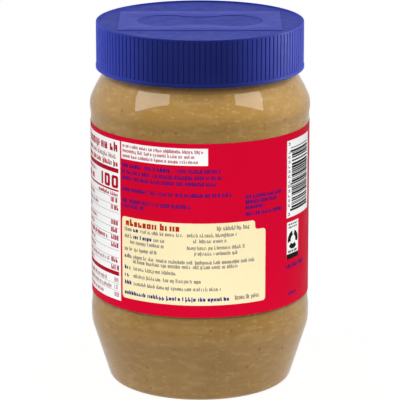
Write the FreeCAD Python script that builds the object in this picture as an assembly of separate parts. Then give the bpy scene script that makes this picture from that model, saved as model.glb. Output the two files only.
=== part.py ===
"""Screw-lid jar of peanut butter: a clear jar, its contents, a wrap label and a ribbed lid.

Millimetres. The origin is the centre of the flat ring that the jar stands on, +Z is up
along the jar's axis, and -Y is the side of the label with the facts and the recipe.
"""

import FreeCAD
import Part

import os
from math import atan2, cos, hypot, radians, sin, tan

# Jar wall and base
WALL = 0.8
BASE_RADIUS = 40.7
HEEL_ROUNDING = 4.0
PUSH_UP_HEIGHT = 5.0
PUSH_UP_TOP_RADIUS = 13.0
PUSH_UP_FOOT_RADIUS = 31.0
PUSH_UP_TOP_ROUNDING = 18.0
PUSH_UP_FOOT_ROUNDING = 4.0

# Jar body: a taper up to a bumper, a recessed land for the label, and a second bumper
BUMPER_RADIUS = 49.4
LAND_DEPTH = 0.4
TAPER_HEIGHT = 27.7
LOW_BUMPER_HEIGHT = 6.9
LOW_BUMPER_ROUNDING = 14.0
HIGH_BUMPER_HEIGHT = 3.1
HIGH_BUMPER_ROUNDING = 9.5
BUMPER_STEP = 2.8
STEP_ROUNDING = 11.0

# Jar shoulder and neck
SHOULDER_ANGLE = 27.5
SHOULDER_FILLET = 1.5
NECK_RADIUS = 43.7
NECK_HEIGHT = 22.1
FILL_BELOW_RIM = 11.0

# Wrap label
LABEL_HEIGHT = 78.6
LABEL_THICKNESS = 0.2
MARGIN_BELOW_LABEL = 4.3
MARGIN_ABOVE_LABEL = 3.8

# Screw thread of the neck and the lid
THREAD_PITCH = 5.1
THREAD_TURNS = 1.25
THREAD_DEPTH = 1.1
THREAD_ROOT_WIDTH = 2.2
THREAD_CREST_WIDTH = 1.2
THREAD_BITE = 0.2
THREAD_BELOW_RIM = 11.0
THREAD_CLEARANCE = 0.3

# Lid
SKIRT_DEPTH = 18.8
SKIRT_WALL = 1.25
SKIRT_FOOT_ROUNDING = 0.3
TOP_THICKNESS = 1.6
TOP_EDGE_ROUNDING = 0.35
RIM_HEIGHT = 0.7
RIM_WIDTH = 1.1
RIM_FOOT_ROUNDING = 0.3
BEAD_HEIGHT = 1.6
BEAD_DEPTH = 0.25
GROOVE_COUNT = 124
GROOVE_WIDTH = 0.42
GROOVE_DEPTH = 0.35
GROOVE_TOP_MARGIN = 0.7

# Raised panel on the lid, with the outline of a peanut left out of it
PANEL_WIDTH = 72.0
PANEL_DEPTH = 43.0
PANEL_HEIGHT = 0.25
PEANUT_LENGTH = 56.0
PEANUT_LOBE_RADIUS = 13.0
PEANUT_WAIST = 18.0

# Sizes that follow from the ones above
LAND_RADIUS = BUMPER_RADIUS - LAND_DEPTH
LABEL_RADIUS = LAND_RADIUS + LABEL_THICKNESS
LAND_BOTTOM = TAPER_HEIGHT + LOW_BUMPER_HEIGHT + BUMPER_STEP
LABEL_BOTTOM = LAND_BOTTOM + MARGIN_BELOW_LABEL
LAND_TOP = LABEL_BOTTOM + LABEL_HEIGHT + MARGIN_ABOVE_LABEL
SHOULDER_BOTTOM = LAND_TOP + BUMPER_STEP + HIGH_BUMPER_HEIGHT
SHOULDER_TOP = SHOULDER_BOTTOM + (BUMPER_RADIUS - NECK_RADIUS) / tan(radians(SHOULDER_ANGLE))
JAR_HEIGHT = SHOULDER_TOP + NECK_HEIGHT
FILL_HEIGHT = JAR_HEIGHT - FILL_BELOW_RIM
SKIRT_INSIDE_RADIUS = NECK_RADIUS + THREAD_DEPTH + THREAD_CLEARANCE
SKIRT_RADIUS = SKIRT_INSIDE_RADIUS + SKIRT_WALL
SKIRT_BOTTOM = JAR_HEIGHT - SKIRT_DEPTH
TOP_FACE = JAR_HEIGHT + TOP_THICKNESS
LID_TOP = TOP_FACE + RIM_HEIGHT

SAME_POINT = 1e-6


def jar_corners(inset=0.0):
    """Corners (radius, height, rounding) of the jar's outside, moved inwards by inset."""
    corners = [
        (0.0, PUSH_UP_HEIGHT, 0.0),
        (PUSH_UP_TOP_RADIUS, PUSH_UP_HEIGHT, PUSH_UP_TOP_ROUNDING),
        (PUSH_UP_FOOT_RADIUS, 0.0, PUSH_UP_FOOT_ROUNDING),
        (BASE_RADIUS, 0.0, HEEL_ROUNDING),
        (BUMPER_RADIUS, TAPER_HEIGHT, LOW_BUMPER_ROUNDING),
        (BUMPER_RADIUS, TAPER_HEIGHT + LOW_BUMPER_HEIGHT, STEP_ROUNDING),
        (LAND_RADIUS, LAND_BOTTOM, STEP_ROUNDING),
        (LAND_RADIUS, LAND_TOP, STEP_ROUNDING),
        (BUMPER_RADIUS, LAND_TOP + BUMPER_STEP, STEP_ROUNDING),
        (BUMPER_RADIUS, SHOULDER_BOTTOM, HIGH_BUMPER_ROUNDING),
        (NECK_RADIUS, SHOULDER_TOP, SHOULDER_FILLET),
        (NECK_RADIUS, JAR_HEIGHT, 0.0),
    ]
    return inset_corners(corners, inset)


def inset_corners(corners, inset):
    """Move each side of an open outline to its left by inset, and keep the roundings parallel."""
    sides = list(zip(corners[:-1], corners[1:]))
    moved = [shift_side(start, end, inset) for start, end in sides]
    result = [(corners[0][0], moved[0][0][1], 0.0)]
    for (before, after), corner in zip(zip(moved[:-1], moved[1:]), corners[1:-1]):
        r, z = crossing(before, after)
        outward = turn(before, after) > 0.0
        rounding = corner[2] - inset if outward else corner[2] + inset
        result.append((r, z, rounding))
    result.append((moved[-1][1][0], corners[-1][1], 0.0))
    return result


def shift_side(start, end, distance):
    """The side from start to end, moved to its left by distance."""
    length = hypot(end[0] - start[0], end[1] - start[1])
    dr = -(end[1] - start[1]) / length * distance
    dz = (end[0] - start[0]) / length * distance
    return (start[0] + dr, start[1] + dz), (end[0] + dr, end[1] + dz)


def turn(before, after):
    """Cross product of two sides: positive where the outline turns left."""
    (a, b), (c, d) = before, after
    return (b[0] - a[0]) * (d[1] - c[1]) - (b[1] - a[1]) * (d[0] - c[0])


def crossing(before, after):
    """The point where the lines through two sides cross."""
    (a, b), (c, d) = before, after
    share = ((c[0] - a[0]) * (d[1] - c[1]) - (c[1] - a[1]) * (d[0] - c[0])) / turn(before, after)
    return a[0] + (b[0] - a[0]) * share, a[1] + (b[1] - a[1]) * share


def point(r, z):
    """A point of the profile plane, at radius r and height z."""
    return FreeCAD.Vector(r, 0.0, z)


def add_line(edges, start, end):
    """Add a straight edge, unless its two ends are the same point."""
    if start.distanceToPoint(end) > SAME_POINT:
        edges.append(Part.LineSegment(start, end).toShape())


def rounded_edges(corners):
    """Edges of an open outline, with an arc at each corner that has a rounding."""
    edges = []
    last = point(*corners[0][:2])
    for before, corner, after in zip(corners[:-2], corners[1:-1], corners[2:]):
        here = point(*corner[:2])
        rounding = corner[2]
        if rounding <= 0.0:
            add_line(edges, last, here)
            last = here
            continue
        back = (point(*before[:2]) - here).normalize()
        ahead = (point(*after[:2]) - here).normalize()
        half_angle = back.getAngle(ahead) / 2.0
        reach = rounding / tan(half_angle)
        bisector = (back + ahead).normalize()
        middle = here + bisector * (rounding / sin(half_angle) - rounding)
        arc_start = here + back * reach
        arc_end = here + ahead * reach
        add_line(edges, last, arc_start)
        edges.append(Part.Arc(arc_start, middle, arc_end).toShape())
        last = arc_end
    add_line(edges, last, point(*corners[-1][:2]))
    return edges


def polygon_edges(corners):
    """Straight edges from corner to corner."""
    ends = [point(*corner) for corner in corners]
    return [Part.LineSegment(a, b).toShape() for a, b in zip(ends[:-1], ends[1:])]


def revolve(edges):
    """The solid that a closed set of profile edges sweeps round the axis."""
    face = Part.Face(Part.Wire(Part.sortEdges(edges)[0]))
    return face.revolve(FreeCAD.Vector(0, 0, 0), FreeCAD.Vector(0, 0, 1), 360)


def thread_ridge(root_radius, side, start_height):
    """A helical ridge on a wall: side is 1 where it stands outwards and -1 where it stands inwards."""
    root = root_radius - side * THREAD_BITE
    crest = root_radius + side * THREAD_DEPTH
    half_root = THREAD_ROOT_WIDTH / 2.0
    half_crest = THREAD_CREST_WIDTH / 2.0
    section = [
        (root, start_height - half_root),
        (crest, start_height - half_crest),
        (crest, start_height + half_crest),
        (root, start_height + half_root),
        (root, start_height - half_root),
    ]
    helix = Part.makeHelix(THREAD_PITCH, THREAD_PITCH * THREAD_TURNS, root_radius)
    helix.translate(FreeCAD.Vector(0, 0, start_height))
    profile = Part.Wire(polygon_edges(section))
    return Part.Wire(helix.Edges).makePipeShell([profile], True, True)


def make_jar():
    """Clear jar: a thin wall with a push-up base, and a screw thread round the neck."""
    outside = jar_corners()
    inside = jar_corners(WALL)
    rim = polygon_edges([outside[-1][:2], inside[-1][:2]])
    axis = polygon_edges([inside[0][:2], outside[0][:2]])
    shell = revolve(rounded_edges(outside) + rounded_edges(inside) + rim + axis)
    ridge = thread_ridge(NECK_RADIUS, 1, JAR_HEIGHT - THREAD_BELOW_RIM)
    return shell.fuse(ridge).removeSplitter()


def make_peanut_butter():
    """Contents: the jar's inside, filled up to a level surface in the neck."""
    inside = jar_corners(WALL)
    neck_inside = inside[-1][0]
    outline = inside[:-1] + [(neck_inside, FILL_HEIGHT, 0.0)]
    top = polygon_edges([(neck_inside, FILL_HEIGHT), (0.0, FILL_HEIGHT), inside[0][:2]])
    return revolve(rounded_edges(outline) + top)


def make_label():
    """Wrap label: a thin sleeve on the land between the two bumpers."""
    outside = Part.makeCylinder(LABEL_RADIUS, LABEL_HEIGHT, point(0, LABEL_BOTTOM))
    return outside.cut(Part.makeCylinder(LAND_RADIUS, LABEL_HEIGHT, point(0, LABEL_BOTTOM)))


def lid_shell():
    """Lid before its grooves: a skirt with a bead at its foot, and a recessed top in a low rim."""
    bead = SKIRT_RADIUS + BEAD_DEPTH
    bead_top = SKIRT_BOTTOM + BEAD_HEIGHT
    rim_inside = SKIRT_RADIUS - RIM_WIDTH
    outline = [
        (0.0, TOP_FACE, 0.0),
        (rim_inside, TOP_FACE, RIM_FOOT_ROUNDING),
        (rim_inside, LID_TOP, TOP_EDGE_ROUNDING),
        (SKIRT_RADIUS, LID_TOP, TOP_EDGE_ROUNDING),
        (SKIRT_RADIUS, bead_top, 0.0),
        (bead, bead_top - BEAD_DEPTH, 0.0),
        (bead, SKIRT_BOTTOM, SKIRT_FOOT_ROUNDING),
        (SKIRT_INSIDE_RADIUS, SKIRT_BOTTOM, SKIRT_FOOT_ROUNDING),
        (SKIRT_INSIDE_RADIUS, JAR_HEIGHT, 0.0),
        (0.0, JAR_HEIGHT, 0.0),
    ]
    axis = polygon_edges([outline[-1][:2], outline[0][:2]])
    return revolve(rounded_edges(outline) + axis)


def grip_grooves():
    """Narrow upright grooves round the skirt, from the bead to just under the top edge."""
    bottom = SKIRT_BOTTOM + BEAD_HEIGHT
    height = LID_TOP - GROOVE_TOP_MARGIN - bottom
    corner = FreeCAD.Vector(SKIRT_RADIUS - GROOVE_DEPTH, -GROOVE_WIDTH / 2.0, bottom)
    grooves = []
    for index in range(GROOVE_COUNT):
        groove = Part.makeBox(GROOVE_DEPTH * 2.0, GROOVE_WIDTH, height, corner)
        groove.rotate(FreeCAD.Vector(0, 0, 0), FreeCAD.Vector(0, 0, 1), index * 360.0 / GROOVE_COUNT)
        grooves.append(groove)
    return Part.makeCompound(grooves)


def peanut_outline():
    """Closed outline of a peanut in its shell: two round lobes joined by hollow waist arcs."""
    lobe_x = PEANUT_LENGTH / 2.0 - PEANUT_LOBE_RADIUS
    half_waist = PEANUT_WAIST / 2.0
    gap = PEANUT_LOBE_RADIUS - half_waist
    waist_radius = (lobe_x**2 - gap * (PEANUT_LOBE_RADIUS + half_waist)) / (2.0 * gap)
    waist_y = half_waist + waist_radius
    angle = atan2(waist_y, lobe_x)
    touch_x = lobe_x - PEANUT_LOBE_RADIUS * cos(angle)
    touch_y = PEANUT_LOBE_RADIUS * sin(angle)
    vector = FreeCAD.Vector
    right_top = vector(touch_x, touch_y, 0)
    right_bottom = vector(touch_x, -touch_y, 0)
    left_top = vector(-touch_x, touch_y, 0)
    left_bottom = vector(-touch_x, -touch_y, 0)
    end_x = PEANUT_LENGTH / 2.0
    arcs = [
        Part.Arc(right_bottom, vector(end_x, 0, 0), right_top),
        Part.Arc(right_top, vector(0, half_waist, 0), left_top),
        Part.Arc(left_top, vector(-end_x, 0, 0), left_bottom),
        Part.Arc(left_bottom, vector(0, -half_waist, 0), right_bottom),
    ]
    return Part.Wire([arc.toShape() for arc in arcs])


def lid_panel():
    """Low rectangular panel on the lid's top, with a peanut left out of its middle."""
    corner = FreeCAD.Vector(-PANEL_WIDTH / 2.0, -PANEL_DEPTH / 2.0, TOP_FACE)
    panel = Part.makeBox(PANEL_WIDTH, PANEL_DEPTH, PANEL_HEIGHT, corner)
    peanut = Part.Face(peanut_outline()).extrude(FreeCAD.Vector(0, 0, PANEL_HEIGHT))
    peanut.translate(FreeCAD.Vector(0, 0, TOP_FACE))
    return panel.cut(peanut)


def make_lid():
    """Blue screw lid: grooved skirt, raised panel on top, and a thread inside."""
    ridge = thread_ridge(SKIRT_INSIDE_RADIUS, -1, JAR_HEIGHT - THREAD_BELOW_RIM - THREAD_PITCH / 2.0)
    body = lid_shell().cut(grip_grooves())
    return body.fuse([ridge, lid_panel()]).removeSplitter()


NODES = {
    "jar": make_jar,
    "peanut_butter": make_peanut_butter,
    "label": make_label,
    "lid": make_lid,
}


def main():
    """Write each node to its own STEP file."""
    os.makedirs("parts", exist_ok=True)
    for name, make in NODES.items():
        shape = make()
        solids = shape.Solids
        assert len(solids) == 1 and solids[0].isValid(), name
        solids[0].exportStep(os.path.join("parts", name + ".step"))
        print(name, "volume", round(solids[0].Volume), "mm3", solids[0].optimalBoundingBox(False))


main()
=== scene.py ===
"""Looks of a jar of peanut butter: clear jar, contents, printed wrap label and ribbed screw lid.

The frame is in metres and every size below is in millimetres, turned to metres by MM where a
mesh is made. +Z is the jar's axis, and -Y is the side of the label with the facts and the recipe.
"""

import logging
import random
from dataclasses import dataclass, field
from enum import Enum
from math import atan2, ceil, cos, degrees, hypot, pi, radians, sin, tan, tau

import bmesh
import bpy
from mathutils import Matrix, Vector
from mathutils.bvhtree import BVHTree


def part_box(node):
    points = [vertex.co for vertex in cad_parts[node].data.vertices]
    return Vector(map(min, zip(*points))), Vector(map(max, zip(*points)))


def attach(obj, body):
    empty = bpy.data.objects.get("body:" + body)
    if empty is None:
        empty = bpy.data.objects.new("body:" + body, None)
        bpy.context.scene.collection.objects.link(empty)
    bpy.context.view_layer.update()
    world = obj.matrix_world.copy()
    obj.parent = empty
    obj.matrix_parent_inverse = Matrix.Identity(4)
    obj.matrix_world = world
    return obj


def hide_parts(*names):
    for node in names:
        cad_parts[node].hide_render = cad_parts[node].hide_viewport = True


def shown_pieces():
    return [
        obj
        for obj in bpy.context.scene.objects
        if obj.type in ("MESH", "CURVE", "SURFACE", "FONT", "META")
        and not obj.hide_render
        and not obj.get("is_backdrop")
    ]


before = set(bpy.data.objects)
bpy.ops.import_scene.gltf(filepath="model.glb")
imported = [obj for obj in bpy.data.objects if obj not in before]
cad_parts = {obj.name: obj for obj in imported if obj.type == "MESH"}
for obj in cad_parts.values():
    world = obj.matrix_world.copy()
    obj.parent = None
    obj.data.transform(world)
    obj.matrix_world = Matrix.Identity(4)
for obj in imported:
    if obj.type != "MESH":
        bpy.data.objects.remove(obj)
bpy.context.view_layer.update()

LOG = logging.getLogger("jar")
MM = 0.001
MERGE = 1e-6
SAME = 1e-7
TINY = 0.001
BODY = "root"
WHITE = (1.0, 1.0, 1.0)

Colour = tuple[float, float, float]
Point = tuple[float, float]


class Slot(Enum):
    """Material slots of the record."""

    CLEAR = "clear_plastic"
    BUTTER = "peanut_butter"
    LABEL = "label_paper"
    LID = "blue_plastic"


# ---------------------------------------------------------------- shader helpers


class NodeSheet:
    """Adds and joins the nodes of one material, world or node group."""

    def __init__(self, tree: bpy.types.NodeTree) -> None:
        """Start on an empty tree.

        Args:
            tree: the node tree to fill.
        """
        self.tree = tree
        tree.nodes.clear()

    def add(self, kind: str, **settings: object) -> bpy.types.Node:
        """Add a node.

        Args:
            kind: the node's type name, without its ShaderNode prefix.
            settings: attributes of the node, set as given.

        Returns:
            The new node.
        """
        prefix = "" if kind.startswith("NodeGroup") else "ShaderNode"
        node = self.tree.nodes.new(prefix + kind)
        for name, value in settings.items():
            setattr(node, name, value)
        return node

    def put(self, value: object, socket: bpy.types.NodeSocket) -> None:
        """Link a socket to an input, or set the input's value.

        Args:
            value: the socket or the value; a colour's alpha may be left out.
            socket: the input.
        """
        if isinstance(value, bpy.types.NodeSocket):
            self.tree.links.new(value, socket)
        elif socket.type == "RGBA" and len(value) == 3:
            socket.default_value = (*value, 1.0)
        else:
            socket.default_value = value

    def feed(self, node: bpy.types.Node, **inputs: object) -> bpy.types.Node:
        """Set or link a node's inputs.

        Args:
            node: the node whose inputs are fed.
            inputs: values or sockets by input name, with _ for a space.

        Returns:
            The same node.
        """
        for name, value in inputs.items():
            self.put(value, node.inputs[name.replace("_", " ")])
        return node

    def math(self, operation: str, first: object, second: object = 0.0) -> bpy.types.NodeSocket:
        """Add a Math node.

        Args:
            operation: the Math node's operation.
            first: value or socket.
            second: value or socket.

        Returns:
            The result's socket.
        """
        node = self.add("Math", operation=operation)
        for socket, value in zip(node.inputs, (first, second)):
            self.put(value, socket)
        return node.outputs[0]

    def ramp(self, value: object, low: float, high: float, start: float, end: float) -> bpy.types.NodeSocket:
        """Map a value smoothly from one range to another.

        Args:
            value: the socket to map.
            low: input that gives start.
            high: input that gives end.
            start: output at low.
            end: output at high.

        Returns:
            The mapped value's socket.
        """
        node = self.add("MapRange", interpolation_type="SMOOTHSTEP")
        self.feed(node, Value=value, From_Min=low, From_Max=high, To_Min=start, To_Max=end)
        return node.outputs["Result"]

    def noise(self, place: object, scale: object, detail: float) -> bpy.types.NodeSocket:
        """Add a noise texture.

        Args:
            place: the socket of the place.
            scale: cells per metre.
            detail: octaves.

        Returns:
            The noise's value socket.
        """
        return self.feed(self.add("TexNoise"), Vector=place, Scale=scale, Detail=detail).outputs[0]

    def blend(self, factor: object, first: object, second: object) -> bpy.types.NodeSocket:
        """Mix two colours.

        Args:
            factor: share of the second colour.
            first: colour or socket.
            second: colour or socket.

        Returns:
            The mixed colour's socket.
        """
        node = self.add("Mix", data_type="RGBA")
        factors = 0
        first_colour = 6
        second_colour = 7
        for index, value in ((factors, factor), (first_colour, first), (second_colour, second)):
            self.put(value, node.inputs[index])
        return node.outputs[2]

    def bump(self, height: object, strength: float, distance: float) -> bpy.types.NodeSocket:
        """Turn a height into a normal.

        Args:
            height: the height's socket.
            strength: share of the effect.
            distance: height of a full step, in metres.

        Returns:
            The normal's socket.
        """
        node = self.add("Bump")
        return self.feed(node, Strength=strength, Distance=distance, Height=height).outputs[0]

    def group(self, tree: bpy.types.NodeTree, **inputs: object) -> bpy.types.Node:
        """Place a node group.

        Args:
            tree: the group's tree.
            inputs: values or sockets by input name.

        Returns:
            The group node.
        """
        return self.feed(self.add("Group", node_tree=tree), **inputs)


class Effects:
    """Node groups that several finishes share, each built once."""

    def __init__(self) -> None:
        """Build the groups."""
        self._grain_tree = self._grain()
        self._speckle_tree = self._speckle()

    def grain(
        self, sheet: NodeSheet, place: object, scale: float, low: float = 0.0, high: float = 1.0
    ) -> bpy.types.NodeSocket:
        """Place the fine grain.

        Args:
            sheet: the material's sheet.
            place: the socket of the place.
            scale: cells per metre.
            low: value in the grain's low parts.
            high: value in its high parts.

        Returns:
            The value's socket.
        """
        return sheet.group(self._grain_tree, Place=place, Scale=scale, Low=low, High=high).outputs[0]

    def speckle(
        self, sheet: NodeSheet, place: object, scale: float, size: float, share: float
    ) -> bpy.types.NodeSocket:
        """Place the scattered spots.

        Args:
            sheet: the material's sheet.
            place: the socket of the place.
            scale: cells per metre.
            size: a spot's radius as a share of its cell.
            share: share of the cells that hold a spot.

        Returns:
            The mask's socket.
        """
        node = sheet.group(self._speckle_tree, Place=place, Scale=scale, Size=size, Share=share)
        return node.outputs[0]

    @staticmethod
    def _sockets(name: str, inputs: tuple[str, ...], output: str) -> bpy.types.NodeTree:
        """Start a group with its sockets: a place, and floats.

        Args:
            name: the group's name.
            inputs: names of the float inputs.
            output: name of the one float output.

        Returns:
            The new tree.
        """
        tree = bpy.data.node_groups.new(name, "ShaderNodeTree")
        tree.interface.new_socket(name="Place", in_out="INPUT", socket_type="NodeSocketVector")
        for title in inputs:
            tree.interface.new_socket(name=title, in_out="INPUT", socket_type="NodeSocketFloat")
        tree.interface.new_socket(name=output, in_out="OUTPUT", socket_type="NodeSocketFloat")
        return tree

    def _grain(self) -> bpy.types.NodeTree:
        """Fine uneven grain between a low and a high value.

        Returns:
            The group's tree.
        """
        tree = self._sockets("grain", ("Scale", "Low", "High"), "Value")
        sheet = NodeSheet(tree)
        given = sheet.add("NodeGroupInput")
        noise = sheet.noise(given.outputs["Place"], given.outputs["Scale"], 3.0)
        spread = sheet.add("MapRange")
        sheet.feed(spread, Value=noise, From_Min=0.3, From_Max=0.7)
        sheet.feed(spread, To_Min=given.outputs["Low"], To_Max=given.outputs["High"])
        sheet.feed(sheet.add("NodeGroupOutput"), Value=spread.outputs["Result"])
        return tree

    def _speckle(self) -> bpy.types.NodeTree:
        """Scattered soft spots: a share of the cells holds one, of uneven outline.

        Returns:
            The group's tree.
        """
        tree = self._sockets("speckle", ("Scale", "Size", "Share"), "Mask")
        sheet = NodeSheet(tree)
        given = sheet.add("NodeGroupInput")
        cells = sheet.add("TexVoronoi")
        sheet.feed(cells, Vector=given.outputs["Place"], Scale=given.outputs["Scale"])
        finer = sheet.math("MULTIPLY", given.outputs["Scale"], 2.5)
        ragged = sheet.noise(given.outputs["Place"], finer, 3.0)
        uneven = sheet.math("MULTIPLY", sheet.math("SUBTRACT", ragged, 0.5), 0.7)
        reach = sheet.math("ADD", cells.outputs["Distance"], uneven)
        inside = sheet.math("SUBTRACT", given.outputs["Size"], reach)
        spot = sheet.ramp(inside, 0.0, 0.12, 0.0, 1.0)
        parts = sheet.feed(sheet.add("SeparateColor"), Color=cells.outputs["Color"])
        chosen = sheet.math("LESS_THAN", parts.outputs[0], given.outputs["Share"])
        sheet.feed(sheet.add("NodeGroupOutput"), Mask=sheet.math("MULTIPLY", spot, chosen))
        return tree


def new_material(name: str) -> tuple[bpy.types.Material, NodeSheet, bpy.types.NodeSocket]:
    """Start a node material.

    Args:
        name: the material's name.

    Returns:
        The material, its sheet and the socket of the Object coordinates.
    """
    material = bpy.data.materials.new(name)
    material.use_nodes = True
    sheet = NodeSheet(material.node_tree)
    place = sheet.add("TexCoord").outputs["Object"]
    return material, sheet, place


def close_material(sheet: NodeSheet, shader: bpy.types.NodeSocket) -> None:
    """Join a shader to the material's output.

    Args:
        sheet: the material's sheet.
        shader: the shader's socket.
    """
    sheet.feed(sheet.add("OutputMaterial"), Surface=shader)


# ---------------------------------------------------------------- finishes


@dataclass(frozen=True)
class ClearPlastic:
    """Clear blown plastic, a little wavy, that lets lamp light through to the contents."""

    name: str = "clear_blown_plastic"
    tint: Colour = (0.985, 0.985, 0.975)
    roughness: float = 0.03
    ior: float = 1.5

    def make(self, effects: Effects) -> bpy.types.Material:
        """Build the material.

        Args:
            effects: the shared node groups.

        Returns:
            The material.
        """
        material, sheet, place = new_material(self.name)
        glass = sheet.add("BsdfPrincipled")
        sheet.feed(glass, Base_Color=self.tint, IOR=self.ior, Transmission_Weight=1.0)
        haze = effects.grain(sheet, place, 60.0, self.roughness * 0.7, self.roughness * 1.3)
        waves = effects.grain(sheet, place, 45.0)
        sheet.feed(glass, Roughness=haze, Normal=sheet.bump(waves, 0.06, 0.0004))
        rays = sheet.add("LightPath")
        light = sheet.math("MAXIMUM", rays.outputs["Is Shadow Ray"], rays.outputs["Is Diffuse Ray"])
        mix = sheet.add("MixShader")
        for index, value in enumerate((light, glass.outputs[0], sheet.add("BsdfTransparent").outputs[0])):
            sheet.put(value, mix.inputs[index])
        close_material(sheet, mix.outputs[0])
        return material


@dataclass(frozen=True)
class ButterFinish:
    """Peanut butter: a warm tan mass with soft mottling, pale crumbs and reddish skins."""

    name: str = "peanut_butter"
    body: Colour = (0.40, 0.231, 0.064)
    deep: Colour = (0.31, 0.168, 0.040)
    pale: Colour = (0.50, 0.325, 0.125)
    skin: Colour = (0.335, 0.135, 0.060)
    roughness: float = 0.6
    sheen: float = 0.05

    def make(self, effects: Effects) -> bpy.types.Material:
        """Build the material.

        Args:
            effects: the shared node groups.

        Returns:
            The material.
        """
        material, sheet, place = new_material(self.name)
        broad = sheet.ramp(sheet.noise(place, 55.0, 3.0), 0.35, 0.7, 0.0, 0.5)
        colour = sheet.blend(broad, self.body, self.deep)
        streak = sheet.add("Mapping")
        sheet.feed(streak, Vector=place, Scale=(1.0, 1.0, 3.2))
        streaks = sheet.ramp(sheet.noise(streak.outputs[0], 150.0, 5.0), 0.48, 0.72, 0.0, 0.6)
        colour = sheet.blend(streaks, colour, self.pale)
        fine = effects.grain(sheet, place, 900.0, 0.0, 0.28)
        colour = sheet.blend(fine, colour, self.deep)
        slant = sheet.add("Mapping")
        sheet.feed(slant, Vector=place, Scale=(1.0, 1.0, 1.7), Rotation=(0.3, 0.0, 0.0))
        crumbs = effects.speckle(sheet, slant.outputs[0], 420.0, 0.40, 0.22)
        colour = sheet.blend(sheet.math("MULTIPLY", crumbs, 0.5), colour, self.pale)
        skins = effects.speckle(sheet, slant.outputs[0], 230.0, 0.42, 0.06)
        colour = sheet.blend(sheet.math("MULTIPLY", skins, 0.4), colour, self.skin)
        shader = sheet.add("BsdfPrincipled")
        gloss = effects.grain(sheet, place, 200.0, self.roughness - 0.08, self.roughness + 0.08)
        normal = sheet.bump(effects.grain(sheet, place, 500.0), 0.15, 0.0003)
        sheet.feed(shader, Base_Color=colour, Roughness=gloss, Normal=normal)
        sheet.feed(shader, Specular_IOR_Level=self.sheen)
        close_material(sheet, shader.outputs[0])
        return material


@dataclass(frozen=True)
class FleckFinish:
    """Bits of nut or skin in the peanut butter, each uneven in colour."""

    name: str
    dark: Colour
    light: Colour

    def make(self, effects: Effects) -> bpy.types.Material:
        """Build the material.

        Args:
            effects: the shared node groups.

        Returns:
            The material.
        """
        material, sheet, place = new_material(self.name)
        tone = effects.grain(sheet, place, 420.0)
        shader = sheet.add("BsdfPrincipled")
        sheet.feed(shader, Base_Color=sheet.blend(tone, self.dark, self.light), Roughness=0.5)
        sheet.feed(shader, Specular_IOR_Level=0.05)
        close_material(sheet, shader.outputs[0])
        return material


@dataclass(frozen=True)
class PrintFinish:
    """Printed, coated label film: one ink with the faint unevenness of print under a satin varnish."""

    name: str
    ink: Colour
    uneven: float = 0.05
    roughness: float = 0.42
    sheen: float = 0.02

    def make(self, effects: Effects) -> bpy.types.Material:
        """Build the material.

        Args:
            effects: the shared node groups.

        Returns:
            The material.
        """
        material, sheet, place = new_material(self.name)
        darker = tuple(channel * (1.0 - self.uneven) for channel in self.ink)
        lighter = tuple(min(0.92, channel * (1.0 + self.uneven)) for channel in self.ink)
        colour = sheet.blend(effects.grain(sheet, place, 700.0), darker, lighter)
        varnish = effects.grain(sheet, place, 90.0, self.roughness - 0.05, self.roughness + 0.05)
        normal = sheet.bump(effects.grain(sheet, place, 130.0), 0.05, 0.0002)
        shader = sheet.add("BsdfPrincipled")
        sheet.feed(shader, Base_Color=colour, Roughness=varnish, Normal=normal)
        sheet.feed(shader, Specular_IOR_Level=self.sheen)
        close_material(sheet, shader.outputs[0])
        return material


@dataclass(frozen=True)
class MouldedFinish:
    """Injection-moulded opaque plastic with a fine satin grain and a slightly uneven gloss."""

    name: str
    body: Colour
    low: float
    high: float
    grain: float = 900.0
    depth: float = 0.0001
    sheen: float = 0.07

    def make(self, effects: Effects) -> bpy.types.Material:
        """Build the material.

        Args:
            effects: the shared node groups.

        Returns:
            The material.
        """
        material, sheet, place = new_material(self.name)
        darker = tuple(channel * 0.94 for channel in self.body)
        lighter = tuple(channel * 1.06 for channel in self.body)
        colour = sheet.blend(effects.grain(sheet, place, 70.0), darker, lighter)
        gloss = effects.grain(sheet, place, 240.0, self.low, self.high)
        normal = sheet.bump(effects.grain(sheet, place, self.grain), 0.25, self.depth)
        shader = sheet.add("BsdfPrincipled")
        sheet.feed(shader, Base_Color=colour, Roughness=gloss, Normal=normal)
        sheet.feed(shader, Specular_IOR_Level=self.sheen)
        close_material(sheet, shader.outputs[0])
        return material


class Finishes:
    """All the materials of the jar, each made once."""

    def __init__(self) -> None:
        """Build every material."""
        effects = Effects()
        self.clear = ClearPlastic().make(effects)
        self.butter = ButterFinish().make(effects)
        self.skins = FleckFinish("peanut_skin", (0.29, 0.10, 0.05), (0.42, 0.19, 0.10)).make(effects)
        self.crumbs = FleckFinish("peanut_crumb", (0.43, 0.272, 0.092), (0.54, 0.37, 0.145)).make(effects)
        self.red = PrintFinish("label_red", (0.605, 0.0022, 0.0275), 0.015).make(effects)
        self.white = PrintFinish("label_white", (0.88, 0.88, 0.875), 0.01).make(effects)
        self.cream = PrintFinish("label_cream", (0.88, 0.77, 0.475), 0.012).make(effects)
        self.crimson = PrintFinish("ink_crimson", (0.40, 0.002, 0.022)).make(effects)
        self.rose = PrintFinish("ink_rose", (0.42, 0.16, 0.17)).make(effects)
        self.violet = PrintFinish("ink_violet", (0.050, 0.008, 0.150)).make(effects)
        self.navy = PrintFinish("ink_navy", (0.018, 0.026, 0.18)).make(effects)
        self.grey = PrintFinish("ink_grey", (0.14, 0.13, 0.15)).make(effects)
        self.rust = PrintFinish("ink_rust", (0.42, 0.022, 0.008)).make(effects)
        self.black = PrintFinish("ink_black", (0.010, 0.009, 0.009)).make(effects)
        self.tan = PrintFinish("ink_tan", (0.55, 0.32, 0.11)).make(effects)
        self.lid = MouldedFinish("lid_plastic", (0.037, 0.055, 0.375), 0.44, 0.58).make(effects)
        self.panel = MouldedFinish("lid_panel_matt", (0.075, 0.092, 0.46), 0.5, 0.62, 1600.0).make(effects)


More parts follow.
